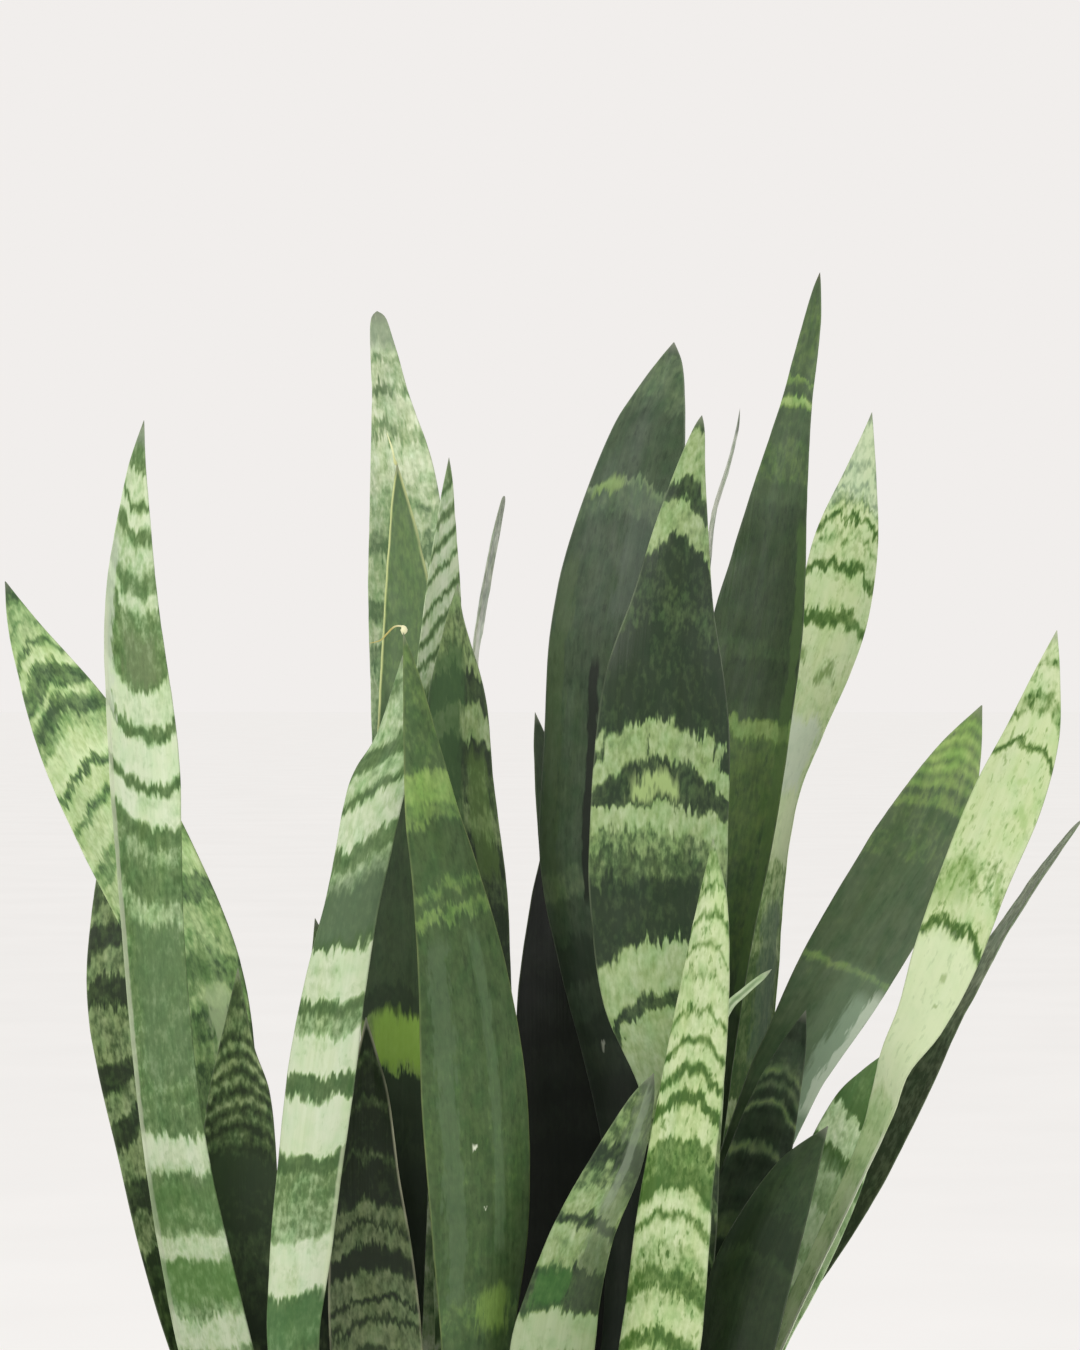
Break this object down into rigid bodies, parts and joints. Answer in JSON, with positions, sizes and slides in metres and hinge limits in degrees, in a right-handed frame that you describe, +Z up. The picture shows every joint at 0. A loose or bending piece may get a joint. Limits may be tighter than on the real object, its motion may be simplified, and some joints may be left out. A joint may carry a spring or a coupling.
{
  "type": "potted black coral snake plant",
  "caption": "Upright snake plant with dark, silver-banded sword leaves standing in a plain tapered pot filled with soil.",
  "frame": {"origin": "middle of the pot's flat underside", "axes": "+Z up along the pot's axis, -Y towards the side the leaves show their faces to, +X to that viewer's right"},
  "size_m": [0.5402, 0.3461, 0.9149],
  "materials": {
    "pot": "matte warm grey stoneware with fine speckles",
    "soil": "damp dark potting mix of bark and peat",
    "leaf_dark": "waxy dark green leaf with faint grey cross-bands",
    "leaf_green": "waxy green leaf with dark and pale cross-bands",
    "leaf_pale": "waxy pale yellow-green leaf with dark zigzag cross-bands"
  },
  "bodies": {
    "root": {"pot": "pot", "soil": "soil", "leaf_left_tall": "leaf_pale", "leaf_far_left": "leaf_green", "leaf_left_low": "leaf_green", "leaf_left_small": "leaf_dark", "leaf_banded_left": "leaf_pale", "leaf_tip_behind": "leaf_green", "leaf_small_chevron": "leaf_green", "leaf_plain_left_back": "leaf_dark", "leaf_tall_blunt": "leaf_pale", "leaf_tall_dark_inner": "leaf_dark", "leaf_slim_banded": "leaf_pale", "leaf_folded": "leaf_green", "leaf_front_dark": "leaf_dark", "leaf_thin_edge_on": "leaf_dark", "leaf_centre_dark": "leaf_dark", "leaf_shadow_gap": "leaf_dark", "leaf_centre_sliver": "leaf_dark", "leaf_centre_banded": "leaf_green", "leaf_thin_curved": "leaf_dark", "leaf_front_pale": "leaf_pale", "leaf_tallest": "leaf_dark", "leaf_back_pale": "leaf_pale", "leaf_small_pale_tip": "leaf_pale", "leaf_right_dark": "leaf_dark", "leaf_right_pale": "leaf_pale", "leaf_right_long_thin": "leaf_dark", "leaf_right_low_dark": "leaf_dark", "leaf_right_low_banded": "leaf_pale", "leaf_right_inner_banded": "leaf_green", "leaf_front_leaning": "leaf_green"}
  },
  "joints": []
}
